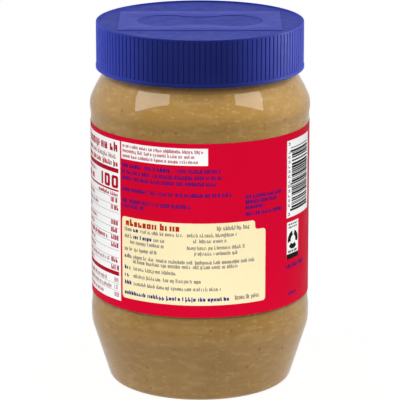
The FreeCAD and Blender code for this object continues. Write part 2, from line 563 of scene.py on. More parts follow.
# ---------------------------------------------------------------- mesh helpers


def round_off(
    bm: bmesh.types.BMesh,
    geom: list[bmesh.types.BMVert] | list[bmesh.types.BMEdge],
    offset: float,
    segments: int,
    affect: str = "VERTICES",
) -> None:
    """Round corners or edges.

    Args:
        bm: the mesh.
        geom: the corners or edges.
        offset: how far from them the rounding starts.
        segments: facets of the rounding.
        affect: VERTICES or EDGES.
    """
    bmesh.ops.bevel(
        bm,
        geom=geom,
        offset=offset,
        offset_type="OFFSET",
        segments=segments,
        profile=0.5,
        affect=affect,
        material=-1,
    )


def raise_faces(bm: bmesh.types.BMesh, depth: float) -> None:
    """Turn flat faces into a plate, with its top moved up by the depth.

    Args:
        bm: the mesh of flat faces at z 0.
        depth: the plate's thickness.
    """
    made = bmesh.ops.extrude_face_region(bm, geom=bm.faces[:], use_keep_orig=True)
    top = [item for item in made["geom"] if isinstance(item, bmesh.types.BMVert)]
    bmesh.ops.translate(bm, verts=top, vec=(0.0, 0.0, depth))


@dataclass(frozen=True)
class Corner:
    """One corner of a turned outline, in millimetres."""

    radius: float
    height: float
    rounding: float = 0.0


@dataclass(frozen=True)
class Outline:
    """A turned piece's outline, listed so that its material lies on the left of each side."""

    corners: tuple[Corner, ...]
    closed: bool = False
    fineness: float = 7.0

    def sides(self) -> list[tuple[Corner, Corner]]:
        """Neighbouring corners, in pairs."""
        return list(zip(self.corners[:-1], self.corners[1:]))

    def inset(self, distance: float) -> "Outline":
        """Move every side to its left, and keep the roundings parallel.

        Args:
            distance: how far the sides move, in millimetres.

        Returns:
            The outline moved inwards, without the end that it shares with a rim.
        """
        moved = [self._shifted(start, end, distance) for start, end in self.sides()]
        result = [Corner(self.corners[0].radius, moved[0][0][1])]
        for (before, after), corner in zip(zip(moved[:-1], moved[1:]), self.corners[1:-1]):
            turn = self._turn(before, after)
            rounding = corner.rounding - distance if turn > 0.0 else corner.rounding + distance
            result.append(Corner(*self._crossing(before, after), rounding))
        result.append(Corner(moved[-1][1][0], self.corners[-1].height))
        return Outline(tuple(result))

    @staticmethod
    def _shifted(start: Corner, end: Corner, distance: float) -> tuple[Point, Point]:
        """The side from start to end, moved to its left.

        Args:
            start: first corner.
            end: second corner.
            distance: how far to move.

        Returns:
            The two moved ends.
        """
        length = hypot(end.radius - start.radius, end.height - start.height)
        across = -(end.height - start.height) / length * distance
        along = (end.radius - start.radius) / length * distance
        return (start.radius + across, start.height + along), (end.radius + across, end.height + along)

    @staticmethod
    def _turn(before: tuple[Point, Point], after: tuple[Point, Point]) -> float:
        """Cross product of two sides, positive where the outline turns left."""
        (a, b), (c, d) = before, after
        return (b[0] - a[0]) * (d[1] - c[1]) - (b[1] - a[1]) * (d[0] - c[0])

    def _crossing(self, before: tuple[Point, Point], after: tuple[Point, Point]) -> Point:
        """Where the lines through two sides cross.

        Args:
            before: the two ends of one side.
            after: the two ends of the next.

        Returns:
            The crossing.
        """
        (a, b), (c, d) = before, after
        share = ((c[0] - a[0]) * (d[1] - c[1]) - (c[1] - a[1]) * (d[0] - c[0])) / self._turn(before, after)
        return a[0] + (b[0] - a[0]) * share, a[1] + (b[1] - a[1]) * share

    def turned(self, steps: int) -> bmesh.types.BMesh:
        """Round the corners and spin the outline about the axis.

        Args:
            steps: number of steps round the axis.

        Returns:
            The closed mesh, with its faces outwards.
        """
        bm = bmesh.new()
        verts = [bm.verts.new((c.radius * MM, 0.0, c.height * MM)) for c in self.corners]
        pairs = list(zip(verts[:-1], verts[1:]))
        if self.closed:
            pairs.append((verts[-1], verts[0]))
        for pair in pairs:
            bm.edges.new(pair)
        places = [v.co.copy() for v in verts]
        count = len(verts)
        for index, corner in enumerate(self.corners):
            if corner.rounding <= 0.0:
                continue
            here = places[index]
            back = places[index - 1] - here
            ahead = places[(index + 1) % count] - here
            angle = back.angle(ahead)
            segments = max(3, ceil(degrees(pi - angle) / self.fineness))
            round_off(bm, [verts[index]], corner.rounding * MM / tan(angle / 2.0), segments)
        bmesh.ops.spin(
            bm,
            geom=bm.verts[:] + bm.edges[:],
            axis=(0.0, 0.0, 1.0),
            cent=(0.0, 0.0, 0.0),
            angle=tau,
            steps=steps,
            use_merge=True,
        )
        bmesh.ops.remove_doubles(bm, verts=bm.verts, dist=MERGE)
        bmesh.ops.recalc_face_normals(bm, faces=bm.faces)
        return bm


def make_piece(
    bm: bmesh.types.BMesh,
    name: str,
    material: bpy.types.Material,
    stands_for: str = "",
    sharp: float = 35.0,
) -> bpy.types.Object:
    """Turn a finished mesh into a piece that rides on the body.

    Args:
        bm: the mesh, in metres and in place; it is freed.
        name: the piece's name.
        material: its material.
        stands_for: the CAD node that it replaces, if any.
        sharp: edges that turn more than this many degrees stay sharp.

    Returns:
        The piece's object.
    """
    mesh = bpy.data.meshes.new(name)
    bm.to_mesh(mesh)
    bm.free()
    mesh.shade_smooth()
    mesh.set_sharp_from_angle(angle=radians(sharp))
    mesh.materials.append(material)
    obj = bpy.data.objects.new(name, mesh)
    bpy.context.scene.collection.objects.link(obj)
    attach(obj, BODY)
    if stands_for:
        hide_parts(stands_for)
    LOG.info("%s: %d faces", name, len(mesh.polygons))
    return obj


def peanut_loop(length: float, lobe: float, waist: float, step: float = 6.0) -> list[Point]:
    """Outline of a peanut in its shell: two round lobes joined by hollow waist arcs.

    Args:
        length: overall length.
        lobe: radius of each lobe.
        waist: width at the waist.
        step: degrees from point to point.

    Returns:
        The outline's points, anticlockwise.
    """
    lobe_x = length / 2.0 - lobe
    gap = lobe - waist / 2.0
    hollow = (lobe_x**2 - gap * (lobe + waist / 2.0)) / (2.0 * gap)
    hollow_y = waist / 2.0 + hollow
    meet = atan2(hollow_y, lobe_x)
    points = []
    end = pi - meet
    count = ceil(degrees(2.0 * end) / step)
    for index in range(count + 1):
        angle = -end + 2.0 * end * index / count
        points.append((lobe_x + lobe * cos(angle), lobe * sin(angle)))
    swing = pi / 2.0 - meet
    count = max(2, ceil(degrees(2.0 * swing) / step))
    for index in range(1, count):
        angle = -pi / 2.0 + swing - 2.0 * swing * index / count
        points.append((hollow * cos(angle), hollow_y + hollow * sin(angle)))
    return points + [(-x, -y) for x, y in points]


# ---------------------------------------------------------------- jar and contents


@dataclass
class Jar:
    """Clear jar with a push-up base, a tapered foot, a recessed label band and a smooth neck, its thread
    left out.
    """

    wall: float = 0.8
    base_radius: float = 40.7
    heel: float = 4.0
    push_up: float = 5.0
    push_up_top: float = 13.0
    push_up_foot: float = 31.0
    push_up_top_rounding: float = 18.0
    push_up_foot_rounding: float = 4.0
    land_depth: float = 0.4
    taper: float = 27.7
    low_bumper: float = 6.9
    low_bumper_rounding: float = 14.0
    high_bumper: float = 3.1
    high_bumper_rounding: float = 9.5
    step: float = 2.8
    step_rounding: float = 11.0
    below_label: float = 4.3
    above_label: float = 3.8
    shoulder_angle: float = 27.5
    shoulder_fillet: float = 1.5
    shoulder_bulge: float = 0.3
    shoulder_sweep: float = 45.0
    neck_radius: float = 43.7
    rim_rounding: float = 0.25
    fill_rounding: float = 1.0
    flecks_below_fill: float = 3.0
    seat: float = 0.1
    steps: int = 256
    top: float = field(init=False)
    bumper_radius: float = field(init=False)
    label_low: float = field(init=False)
    label_high: float = field(init=False)
    fill: float = field(init=False)

    def __post_init__(self) -> None:
        """Take the heights and the widest radius from the frame."""
        label_low, label_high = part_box("label")
        butter_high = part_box("peanut_butter")[1]
        jar_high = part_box("jar")[1]
        self.top = jar_high.z / MM
        self.bumper_radius = jar_high.x / MM
        self.label_low = label_low.z / MM
        self.label_high = label_high.z / MM
        self.fill = butter_high.z / MM

    def outline(self) -> Outline:
        """Outside of the jar, from the middle of its base up to the rim.

        Returns:
            The outline.
        """
        land = self.bumper_radius - self.land_depth
        land_low = self.label_low - self.below_label
        land_high = self.label_high + self.above_label
        shoulder_low = land_high + self.step + self.high_bumper
        slope = radians(self.shoulder_angle)
        rise = (self.bumper_radius - self.neck_radius) / tan(slope)
        mid_radius = (self.bumper_radius + self.neck_radius) / 2.0 + self.shoulder_bulge * cos(slope)
        mid_height = shoulder_low + rise / 2.0 + self.shoulder_bulge * sin(slope)
        return Outline(
            (
                Corner(0.0, self.push_up),
                Corner(self.push_up_top, self.push_up, self.push_up_top_rounding),
                Corner(self.push_up_foot, 0.0, self.push_up_foot_rounding),
                Corner(self.base_radius, 0.0, self.heel),
                Corner(self.bumper_radius, self.taper, self.low_bumper_rounding),
                Corner(self.bumper_radius, self.taper + self.low_bumper, self.step_rounding),
                Corner(land, land_low, self.step_rounding),
                Corner(land, land_high, self.step_rounding),
                Corner(self.bumper_radius, land_high + self.step, self.step_rounding),
                Corner(self.bumper_radius, shoulder_low, self.high_bumper_rounding),
                Corner(mid_radius, mid_height, self.shoulder_sweep),
                Corner(self.neck_radius, shoulder_low + rise, self.shoulder_fillet),
                Corner(self.neck_radius, self.top),
            )
        )

    def build_shell(self) -> bmesh.types.BMesh:
        """The jar's wall: the outline, its rim and the parallel inside.

        Returns:
            The mesh.
        """
        outside = self.outline()
        inside = outside.inset(self.wall)
        rim = (
            Corner(outside.corners[-1].radius, self.top, self.rim_rounding),
            Corner(inside.corners[-1].radius, self.top, self.rim_rounding),
        )
        corners = outside.corners[:-1] + rim + inside.corners[-2::-1]
        return Outline(corners).turned(self.steps)

    def build_contents(self) -> bmesh.types.BMesh:
        """The peanut butter, which reaches just into the wall, up to its level in the neck.

        Returns:
            The mesh.
        """
        inside = self.outline().inset(self.wall - self.seat)
        neck = inside.corners[-1].radius
        top = (Corner(neck, self.fill, self.fill_rounding), Corner(0.0, self.fill))
        return Outline(inside.corners[:-1] + top).turned(self.steps)

    def dress(self, finishes: Finishes) -> None:
        """Make the jar's and the contents' pieces.

        Args:
            finishes: the materials.
        """
        make_piece(self.build_shell(), "jar_shell", finishes.clear, "jar", 50.0)
        contents = self.build_contents()
        tree = BVHTree.FromBMesh(contents)
        make_piece(contents, "peanut_butter_fill", finishes.butter, "peanut_butter", 50.0)
        top = self.fill - self.flecks_below_fill
        skins = Flecks(tree, top, 620, (0.45, 1.3), 0.065, 11)
        make_piece(skins.build(), "peanut_skins", finishes.skins)
        crumbs = Flecks(tree, top, 900, (0.25, 0.6), 0.075, 12)
        make_piece(crumbs.build(), "peanut_crumbs", finishes.crumbs)


@dataclass
class Flecks:
    """Small flat bits that lie against the wall in the surface of the peanut butter."""

    surface: BVHTree
    top: float
    count: int
    sizes: tuple[float, float]
    proud: float
    seed: int
    low: float = 1.5
    reach: float = 80.0

    def build(self) -> bmesh.types.BMesh:
        """Scatter the bits over the side of the contents.

        Returns:
            The mesh.
        """
        rng = random.Random(self.seed)
        bm = bmesh.new()
        for _ in range(self.count):
            angle = rng.uniform(0.0, tau)
            height = rng.uniform(self.low, self.top)
            outward = Vector((cos(angle), sin(angle), 0.0))
            start = outward * self.reach * MM + Vector((0.0, 0.0, height * MM))
            place, normal, _, _ = self.surface.ray_cast(start, -outward)
            size = rng.uniform(*self.sizes) * rng.uniform(0.6, 1.2)
            self._bit(bm, rng, place, normal, size)
        return bm

    def _bit(
        self, bm: bmesh.types.BMesh, rng: random.Random, place: Vector, normal: Vector, size: float
    ) -> None:
        """Add one ragged bit.

        Args:
            bm: the mesh to add to.
            rng: the seeded source of unevenness.
            place: the point on the contents' surface.
            normal: the surface's direction there.
            size: the bit's half length, in millimetres.
        """
        turn = normal.to_track_quat("Z", "Y").to_matrix().to_4x4()
        spin = Matrix.Rotation(rng.uniform(0.0, tau), 4, "Z")
        across = size * rng.uniform(0.35, 0.8)
        thick = self.proud * rng.uniform(0.5, 1.0)
        shape = Matrix.Diagonal((size, across, thick, 1.0))
        made = bmesh.ops.create_icosphere(bm, subdivisions=1, radius=1.0)
        for vert in made["verts"]:
            vert.co *= rng.uniform(0.75, 1.2)
        matrix = Matrix.Translation(place) @ turn @ spin @ Matrix.Scale(MM, 4) @ shape
        bmesh.ops.transform(bm, matrix=matrix, verts=made["verts"])


# ---------------------------------------------------------------- label


@dataclass(frozen=True)
class TypeStyle:
    """How a row of marks looks: its height in millimetres and its stroke as a share of it."""

    height: float
    stroke: float = 0.17
    capitals: bool = False


class InkLayer:
    """Flat fields and marks of one ink, laid out unrolled and then wrapped round the label.

    Places are millimetres: s along the label from its middle, positive to the right, and z up.
    """

    def __init__(self, radius: float, level: int, bends: bool = True) -> None:
        """Start an empty layer.

        Args:
            radius: the label's outer radius.
            level: how many inks lie between it and the label's film.
            bends: True where the layer has wide shapes, which are cut so that they bend.
        """
        self.bm = bmesh.new()
        self.radius = radius
        self.level = level
        self.bends = bends
        self.thickness = 0.03
        self.bite = 0.01
        self.bend_step = 1.6

    def bar(self, left: float, right: float, low: float, high: float) -> None:
        """Add a rectangle.

        Args:
            left: s of its left side.
            right: s of its right side.
            low: z of its foot.
            high: z of its top.
        """
        self.loop([(left, low), (right, low), (right, high), (left, high)], (0.0, 0.0))

    def panel(self, corners: list[Point], rounding: float) -> None:
        """Add a field with rounded corners.

        Args:
            corners: its corners, anticlockwise.
            rounding: radius of every corner.
        """
        verts = [self.bm.verts.new((s, z, 0.0)) for s, z in corners]
        self.bm.faces.new(verts)
        round_off(self.bm, verts, rounding, 6)

    def box(self, left: float, right: float, low: float, high: float, rounding: float) -> None:
        """Add a rectangle with rounded corners.

        Args:
            left: s of its left side.
            right: s of its right side.
            low: z of its foot.
            high: z of its top.
            rounding: radius of its corners.
        """
        self.panel([(left, low), (right, low), (right, high), (left, high)], rounding)

    def loop(self, points: list[Point], centre: Point, turn: float = 0.0) -> None:
        """Add a field inside a closed outline.

        Args:
            points: the outline's points.
            centre: where its origin goes.
            turn: degrees that it is turned by.
        """
        matrix = Matrix.Translation((*centre, 0.0)) @ Matrix.Rotation(radians(turn), 4, "Z")
        verts = [self.bm.verts.new(matrix @ Vector((x, y, 0.0))) for x, y in points]
        self.bm.faces.new(verts)

    def ring(self, centre: Point, inner: float, outer: float, start: float, end: float) -> None:
        """Add a part of a ring.

        Args:
            centre: the ring's centre.
            inner: inner radius.
            outer: outer radius.
            start: angle where it starts, in degrees.
            end: angle where it ends, in degrees.
        """
        count = max(2, ceil((end - start) / 15.0))
        angles = [radians(start + (end - start) * index / count) for index in range(count + 1)]
        arc = [(outer * cos(a), outer * sin(a)) for a in angles]
        back = [(inner * cos(a), inner * sin(a)) for a in reversed(angles)]
        self.loop(arc + back, centre)

    def wrap(self, name: str, material: bpy.types.Material) -> bpy.types.Object:
        """Bend the layer round the label and give it its thickness.

        Args:
            name: the piece's name.
            material: its ink.

        Returns:
            The piece.
        """
        bm = self.bm
        if self.bends:
            left = min(v.co.x for v in bm.verts)
            right = max(v.co.x for v in bm.verts)
            for index in range(1, ceil((right - left) / self.bend_step)):
                cut = Vector((left + index * self.bend_step, 0.0, 0.0))
                geom = bm.verts[:] + bm.edges[:] + bm.faces[:]
                bmesh.ops.bisect_plane(bm, geom=geom, dist=1e-4, plane_co=cut, plane_no=(1.0, 0.0, 0.0))
        for face in bm.faces:
            if face.normal.z < 0.0:
                face.normal_flip()
        start = self.level * self.thickness - self.bite
        raise_faces(bm, self.thickness + self.bite)
        bmesh.ops.translate(bm, verts=bm.verts, vec=(0.0, 0.0, start))
        bmesh.ops.recalc_face_normals(bm, faces=bm.faces)
        for vert in bm.verts:
            s, z, out = vert.co
            reach = self.radius + out
            angle = s / self.radius
            vert.co = Vector((reach * sin(angle), -reach * cos(angle), z)) * MM
        return make_piece(bm, name, material)


class MarkWriter:
    """Fills lines with rows of upright marks that have the grey of small print and spell nothing."""

    def __init__(self, layer: InkLayer, seed: int) -> None:
        """Start on a layer.

        Args:
            layer: the layer that the marks go on.
            seed: seed of the marks' unevenness.
        """
        self.layer = layer
        self.rng = random.Random(seed)

    def line(self, start: float, end: float, base: float, style: TypeStyle) -> None:
        """Fill a line with groups of marks.

        Args:
            start: s where the line starts.
            end: s where it ends.
            base: z of its foot.
            style: how the marks look.
        """
        gap = style.height * (0.07 + style.stroke * 0.35)
        at = start
        while at < end - style.height * 0.3:
            for _ in range(self.rng.randint(2, 9)):
                wide = style.height * (style.stroke + self.rng.choice((0.26, 0.32, 0.36)))
                width = style.height * style.stroke if self.rng.random() < 0.16 else wide
                if at + width > end:
                    at = end
                    break
                self.mark(at, base, width, style)
                at += width + gap
            at += style.height * 0.38

    def mark(self, left: float, base: float, width: float, style: TypeStyle) -> None:
        """Add one mark: one or two stems with a short tie between them.

        Args:
            left: s of its left side.
            base: z of its foot.
            width: its width.
            style: how it looks.
        """
        rng = self.rng
        stroke = style.stroke * style.height
        low_height = style.height * (1.0 if style.capitals else 0.72)
        foot = base - (0.25 * style.height if not style.capitals and rng.random() < 0.1 else 0.0)
        head = base + (style.height if rng.random() < 0.3 else low_height)
        self.layer.bar(left, left + stroke, foot, head)
        if width < 1.5 * stroke:
            return
        right = left + width
        if rng.random() < 0.85:
            self.layer.bar(right - stroke, right, base, base + low_height * rng.choice((0.55, 1.0, 1.0)))
        tie = stroke * 0.85
        for share in rng.sample((0.0, 0.5, 1.0), rng.choice((1, 2, 2, 3))):
            at = base + (low_height - tie) * share
            self.layer.bar(left + stroke, right - stroke, at, at + tie)


@dataclass
class Label:
    """Printed wrap label: a sleeve with an overlap seam, fields of colour and rows of marks."""

    land_gap: float = 0.2
    edge: float = 0.06
    steps: int = 256
    radius: float = field(init=False)
    low: float = field(init=False)
    high: float = field(init=False)

    facts_left: float = -93.0
    facts_right: float = -39.0
    facts_low: float = 45.1
    facts_high: float = 118.1
    margin: float = 1.1
    front: float = 150.0
    seam: float = -106.0
    badge_sides: tuple[float, float] = (44.2, 53.8)
    badge_low: float = 62.9
    badge_high: float = 79.9
    seam_half: float = 3.0
    seam_inset: float = 0.05
    row_pitch: float = 3.43
    row_base: float = 89.6
    rule: float = 0.13

    def __post_init__(self) -> None:
        """Take the sleeve's place from the frame."""
        low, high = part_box("label")
        self.radius = high.x / MM
        self.low = low.z / MM
        self.high = high.z / MM

    def build_sleeve(self) -> bmesh.types.BMesh:
        """The label's film, a thin closed sleeve.

        Returns:
            The mesh.
        """
        inner = self.radius - self.land_gap
        corners = (
            Corner(inner, self.low),
            Corner(self.radius, self.low, self.edge),
            Corner(self.radius, self.high, self.edge),
            Corner(inner, self.high),
        )
        return Outline(corners, closed=True).turned(self.steps)

    def layer(self, level: int = 1, bends: bool = False) -> InkLayer:
        """A new layer on this label.

        Args:
            level: how many inks lie between it and the label's film.
            bends: True where it has wide shapes.

        Returns:
            The layer.
        """
        return InkLayer(self.radius, level, bends)

    def dress(self, finishes: Finishes) -> None:
        """Make the label's pieces.

        Args:
            finishes: the materials.
        """
        make_piece(self.build_sleeve(), "label_sleeve", finishes.red, "label")
        self.add_fields(finishes)
        self.add_facts(finishes)
        self.add_notes(finishes)
        self.add_recipe(finishes)
        self.add_codes(finishes)
        self.add_front(finishes)

    def add_fields(self, finishes: Finishes) -> None:
        """The white and cream fields of the printed side, and the overlap seam.

        Args:
            finishes: the materials.
        """
        white = self.layer(0, True)
        white.bar(self.facts_left, self.facts_right, self.facts_low, self.facts_high)
        white.bar(-38.1, 3.5, 110.55, 118.2)
        white.bar(43.9, 66.5, 82.0, 117.1)
        white.bar(*self.badge_sides, self.badge_low, self.badge_high)
        white.wrap("label_white_fields", finishes.white)
        cream = self.layer(0, True)
        cream.panel(
            [(-37.9, 47.3), (30.7, 47.3), (30.7, 80.4), (25.2, 80.4), (25.2, 84.6), (-37.9, 84.6)], 1.5
        )
        cream.wrap("label_cream_field", finishes.cream)
        seam = self.layer(0, True)
        ends = self.low + self.seam_inset, self.high - self.seam_inset
        seam.bar(self.seam - self.seam_half, self.seam + self.seam_half, *ends)
        seam.wrap("label_seam", finishes.red)

    def add_facts(self, finishes: Finishes) -> None:
        """Marks and rules of the facts panel.

        Args:
            finishes: the materials.
        """
        left = self.facts_left + self.margin
        right = self.facts_right - self.margin
        bold = self.layer(1, True)
        writer = MarkWriter(bold, 21)
        writer.line(left, right, 112.9, TypeStyle(4.2, 0.24))
        writer.line(left, right, 106.2, TypeStyle(2.5, 0.22))
        bold.bar(left, right, 103.3, 105.3)
        writer.line(left, -59.6, 96.6, TypeStyle(3.4, 0.25))
        for start, width in ((-53.6, 1.5), (-50.6, 4.4), (-44.9, 4.6)):
            self.numeral(bold, start, width, 96.2, 5.7)
        bold.bar(left, right, 94.8, 95.6)
        writer.line(-56.7, right, 92.6, TypeStyle(1.7, 0.24))
        bold.bar(left, right, 56.25, 58.14)
        shown = (True, True, False, True, True, True, True, False, True, True)
        for index, has_value in enumerate(shown):
            if has_value:
                writer.line(-45.6, right, self.row(index), TypeStyle(2.1, 0.27, True))
        writer.line(left, -48.3, 72.2, TypeStyle(2.1, 0.24))
        bold.wrap("label_facts_bold", finishes.crimson)
        fine = self.layer(1)
        writer = MarkWriter(fine, 22)
        writer.line(left, -40.6, 109.5, TypeStyle(2.2, 0.15))
        writer.line(left, -59.5, 100.9, TypeStyle(1.9, 0.15))
        ends = (-62.0, -56.4, -66.0, -58.7, -63.0, None, -61.0, -60.0, -46.8, -64.0)
        for index, end in enumerate(ends):
            if end is not None:
                writer.line(left, end, self.row(index), TypeStyle(1.9, 0.15))
        for base, end in ((53.0, -48.0), (49.7, -44.8), (46.3, -50.8)):
            writer.line(left, end, base, TypeStyle(2.0, 0.15))
            writer.line(-43.4, right, base + 0.2, TypeStyle(2.0, 0.15, True))
        fine.wrap("label_facts_fine", finishes.rose)
        rules = self.layer(1, True)
        above_row = 2.3
        levels = [self.row(index) + above_row for index in range(len(ends))]
        for level in (*levels, 52.4, 49.1):
            rules.bar(left, right, level, level + self.rule)
        rules.wrap("label_facts_rules", finishes.grey)

    def row(self, index: int) -> float:
        """Foot of a row of the facts panel, counted from 0 at the top."""
        return self.row_base - self.row_pitch * index

    @staticmethod
    def numeral(layer: InkLayer, left: float, width: float, low: float, height: float) -> None:
        """A tall heavy block with a slit, in place of a large figure.

        Args:
            layer: the layer that it goes on.
            left: s of its left side.
            width: its width.
            low: z of its foot.
            height: its height.
        """
        stroke = 1.65
        cut = 0.5
        thin = stroke * 0.8
        right, high = left + width, low + height
        if width < 2.0 * stroke:
            layer.bar(left, right, low, high)
            return
        layer.bar(left, left + stroke, low + cut, high - cut)
        layer.bar(right - stroke, right, low + cut, high - cut)
        layer.bar(left + cut, right - cut, low, low + thin)
        layer.bar(left + cut, right - cut, high - thin, high)

    def add_notes(self, finishes: Finishes) -> None:
        """Small print of the white strip, and the violet lines on the red ground.

        Args:
            finishes: the materials.
        """
        strip = self.layer(1)
        strip_left = -37.3
        writer = MarkWriter(strip, 31)
        for base, end in ((115.9, 2.2), (113.7, -1.6), (111.4, -0.3)):
            writer.line(strip_left, end, base, TypeStyle(1.6, 0.16))
        strip.wrap("label_strip_print", finishes.crimson)
        violet = self.layer(0)
        writer = MarkWriter(violet, 32)
        capital = TypeStyle(1.75, 0.21, True)
        heavy = TypeStyle(1.75, 0.32, True)
        left = -37.6
        block_left = 20.5
        head_base = 107.0
        head = ((left, -26.4, heavy), (-25.4, -19.8, capital), (-19.2, -12.4, heavy), (-10.6, 9.6, capital))
        for start, end, style in head:
            writer.line(start, end, head_base, style)
        rows = ((104.1, 9.6), (101.3, 7.7), (96.2, 14.3), (91.1, -3.7), (88.8, -25.0))
        for base, end in rows:
            writer.line(left, end, base, capital)
        block = ((94.7, 40.4), (92.3, 37.8), (89.9, 31.5), (86.9, 41.7))
        for base, end in block:
            writer.line(block_left, end, base, TypeStyle(1.7, 0.24, True))
        writer.line(43.9, 58.9, 58.7, TypeStyle(1.8, 0.22, True))
        writer.line(45.5, 52.0, 46.2, TypeStyle(1.5, 0.16, True))
        violet.wrap("label_violet_print", finishes.violet)

    def add_recipe(self, finishes: Finishes) -> None:
        """Heading, columns and steps on the cream field.

        Args:
            finishes: the materials.
        """
        title = self.layer(1)
        MarkWriter(title, 41).line(-35.6, -7.3, 80.7, TypeStyle(3.1, 0.27))
        title.wrap("label_recipe_title", finishes.rust)
        grey = self.layer(1)
        writer = MarkWriter(grey, 42)
        plain = TypeStyle(1.75, 0.145)
        number_left = -36.4
        step_left = -31.4
        step_bases = (66.1, 60.8, 57.4, 53.9)
        writer.line(7.4, 23.3, 81.3, TypeStyle(2.0, 0.145))
        rows = (
            (-36.3, -32.0, 78.3),
            (-27.5, -7.2, 78.3),
            (-36.3, -32.0, 75.2),
            (-21.0, -14.8, 75.2),
            (-33.2, -15.5, 72.7),
            (number_left, -18.9, 69.5),
            (-5.7, 16.9, 78.4),
            (-3.0, 12.2, 75.8),
            (-5.7, 21.0, 72.7),
            (-2.5, 16.7, 70.2),
            (step_left, 25.2, step_bases[0]),
            (-31.6, 16.9, 64.0),
            (step_left, -10.7, step_bases[1]),
            (step_left, 0.6, step_bases[2]),
            (step_left, 9.4, step_bases[3]),
        )
        for start, end, base in rows:
            writer.line(start, end, base, plain)
        writer.line(15.6, 29.0, 49.3, TypeStyle(2.1, 0.145))
        grey.wrap("label_recipe_print", finishes.grey)
        navy = self.layer(1)
        writer = MarkWriter(navy, 43)
        heavy = TypeStyle(1.85, 0.26)
        writer.line(step_left, -28.4, 78.3, heavy)
        writer.line(step_left, -21.8, 75.2, heavy)
        for base in step_bases:
            writer.line(number_left, -32.2, base, heavy)
        writer.line(-36.5, 13.6, 49.2, heavy)
        navy.wrap("label_recipe_bold", finishes.navy)

    def add_codes(self, finishes: Finishes) -> None:
        """Bars with their row of digits, and the sorting mark below them.

        Args:
            finishes: the materials.
        """
        black = self.layer(1, True)
        rng = random.Random(51)
        unit = 0.31
        level = 113.7
        foot = 84.6
        guards = (0, 1, 15, 16)
        long_left, short_left, bars_right = 46.5, 47.6, 64.2
        index = 0
        while level > foot:
            thick = unit * rng.choice((1.2, 1.2, 2.2, 2.2, 3.2))
            guard = index in guards or level < foot + 1.6
            black.bar(long_left if guard else short_left, bars_right, level - thick, level)
            level -= thick + unit * rng.choice((0.8, 0.8, 0.8, 1.8, 2.6))
            index += 1
        low, high = 44.9, 46.2
        pitch = 2.2
        for step in range(12):
            base = 111.2 - step * pitch
            black.bar(low, high, base, base + 0.32)
            black.bar(low if step % 2 else high - 0.3, low + 0.3 if step % 2 else high, base, base + 1.1)
            if step % 3:
                black.bar(low, high, base + 0.8, base + 1.1)
        for base in (114.9, 82.9):
            black.bar(low, high, base, base + 0.35)
            black.bar(low, high, base + 0.9, base + 1.25)
            black.bar(high - 0.4, high, base, base + 1.25)
        badge_centre = (49.0, 71.4)
        for start in (100.0, 220.0, 340.0):
            black.ring(badge_centre, 2.0, 4.2, start, start + 92.0)
        black.bar(*self.badge_sides, self.badge_low, self.badge_low + 2.3)
        writer = MarkWriter(black, 52)
        words = self.badge_sides[0] + 1.0, self.badge_sides[1] - 0.9
        for base in (78.4, 77.0):
            writer.line(*words, base, TypeStyle(0.9, 0.2))
        writer.line(*words, 65.7, TypeStyle(1.1, 0.24, True))
        black.wrap("label_black_print", finishes.black)

    def add_front(self, finishes: Finishes) -> None:
        """The far side of the label: plain fields with peanuts, in the same inks.

        Args:
            finishes: the materials.
        """
        mid = self.front
        white = self.layer(0, True)
        white.box(mid - 41.0, mid + 41.0, 72.0, 112.0, 9.0)
        white.wrap("label_front_border", finishes.white)
        blue = self.layer(1, True)
        blue.box(mid - 39.4, mid + 39.4, 73.6, 110.4, 7.6)
        blue.wrap("label_front_field", finishes.navy)
        cream = self.layer(0, True)
        cream.box(mid - 30.0, mid + 30.0, 49.0, 62.0, 2.5)
        cream.wrap("label_front_strip", finishes.cream)
        nuts = self.layer(2, True)
        whole = peanut_loop(25.0, 6.0, 8.5)
        nuts.loop(whole, (mid - 15.0, 93.5), 22.0)
        nuts.loop(whole, (mid + 15.0, 89.0), -18.0)
        nuts.wrap("label_front_nuts", finishes.tan)
        rows = self.layer(1)
        writer = MarkWriter(rows, 61)
        writer.line(mid - 26.0, mid + 26.0, 56.4, TypeStyle(2.8, 0.22))
        writer.line(mid - 22.0, mid + 22.0, 52.2, TypeStyle(1.9, 0.16))
        rows.wrap("label_front_print", finishes.navy)


# ---------------------------------------------------------------- lid


